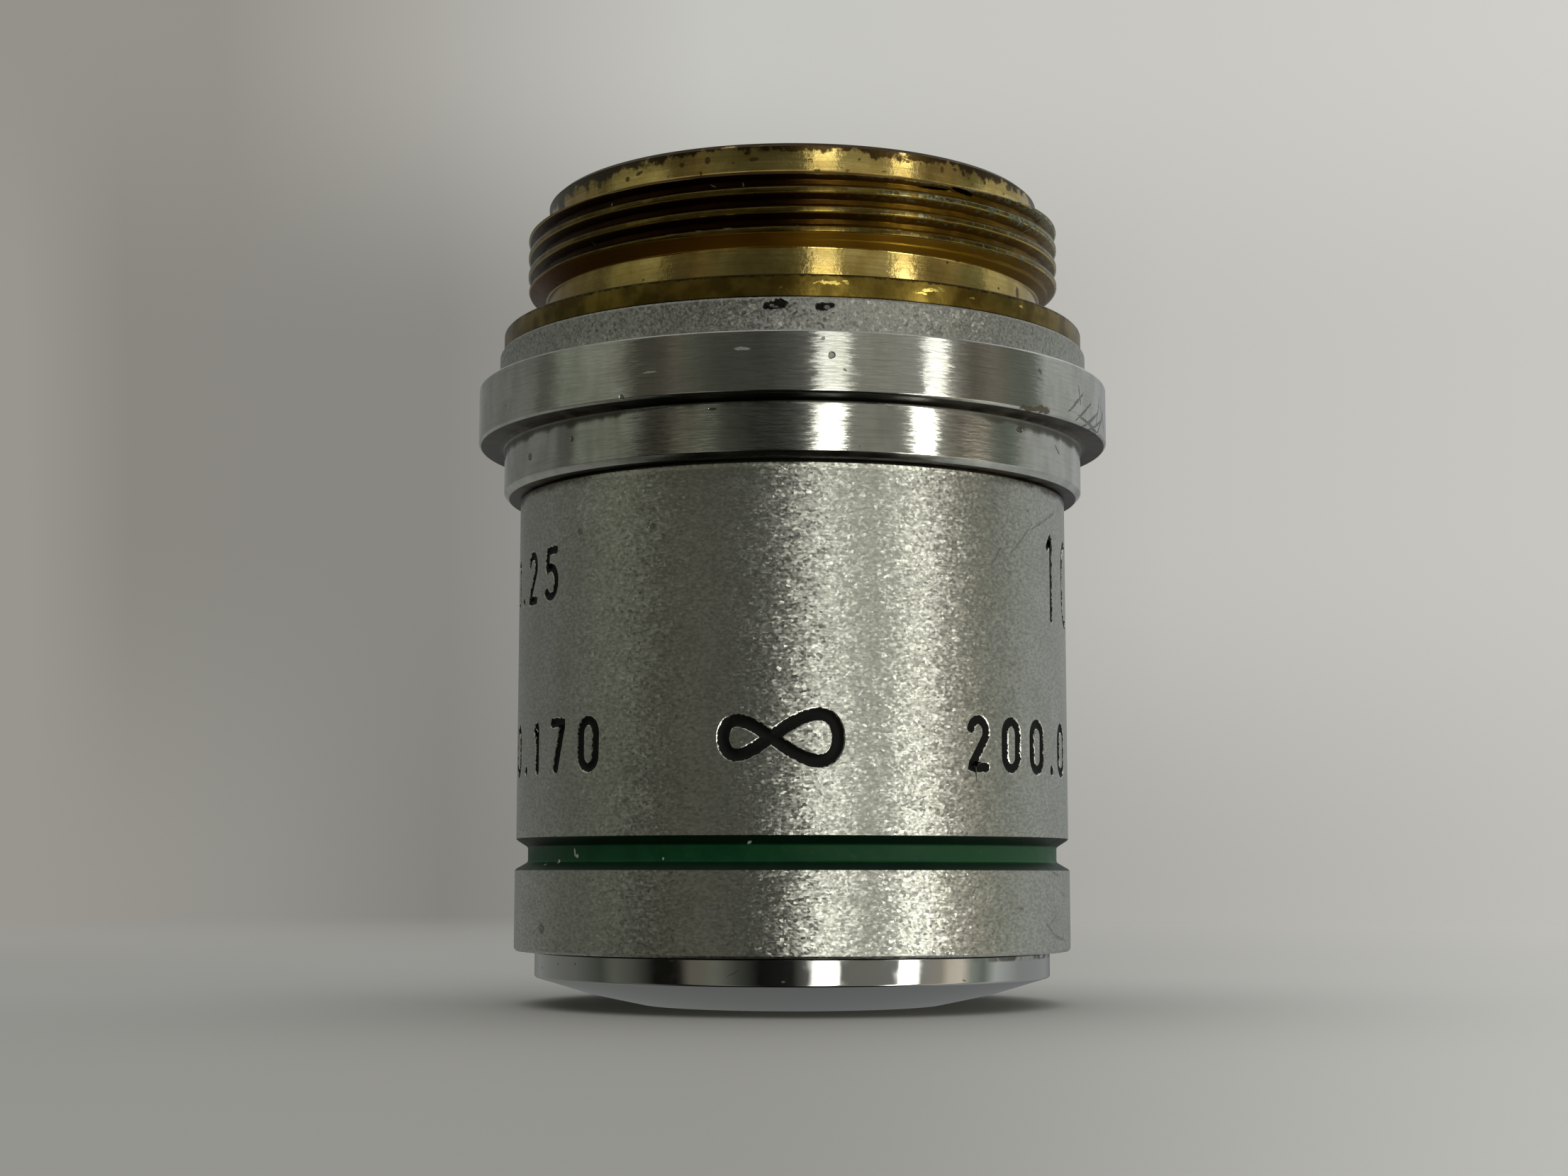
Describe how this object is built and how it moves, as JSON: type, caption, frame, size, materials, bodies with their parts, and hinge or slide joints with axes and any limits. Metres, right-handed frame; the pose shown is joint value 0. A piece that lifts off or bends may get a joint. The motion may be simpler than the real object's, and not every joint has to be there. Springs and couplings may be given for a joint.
{
  "type": "microscope objective",
  "caption": "Microscope objective that screws into a nosepiece by its society thread and images a specimen to infinity, with a green magnification band round its barrel.",
  "frame": {"origin": "on the optical axis, in the plane of the shoulder that seats on the nosepiece", "axes": "+Z along the optical axis from the specimen to the tube, so the nose is down and the screw thread up; X and Y across it, and -Y is the side that the picture shows"},
  "size_m": [0.0238, 0.0238, 0.0301],
  "materials": {
    "brass": "turned, tarnished",
    "bright_aluminium": "fine turned, bright anodised",
    "satin_aluminium": "bead blasted, clear anodised",
    "plated_chrome": "polished, plated",
    "green_enamel": "gloss enamel, engraved groove fill",
    "blackened_brass": "chemically blackened, dull",
    "black_anodised": "dead black anodised",
    "optical_glass": "polished, coated"
  },
  "bodies": {
    "root": {"thread_mount": "brass", "collar": "bright_aluminium", "barrel": "satin_aluminium", "colour_band": "green_enamel", "nose_cap": "plated_chrome", "lens_tube": "brass", "parfocal_shim": "brass", "front_cell": "blackened_brass", "front_lens": "optical_glass", "front_retainer": "blackened_brass", "front_spacer": "blackened_brass", "doublet_a_cell": "blackened_brass", "doublet_a_crown": "optical_glass", "doublet_a_flint": "optical_glass", "doublet_a_retainer": "blackened_brass", "stop_spacer": "blackened_brass", "aperture_stop": "blackened_brass", "rear_spacer": "blackened_brass", "doublet_b_cell": "blackened_brass", "doublet_b_crown": "optical_glass", "doublet_b_flint": "optical_glass", "doublet_b_retainer": "blackened_brass", "lock_ring": "blackened_brass", "rear_baffle": "black_anodised"}
  },
  "joints": []
}
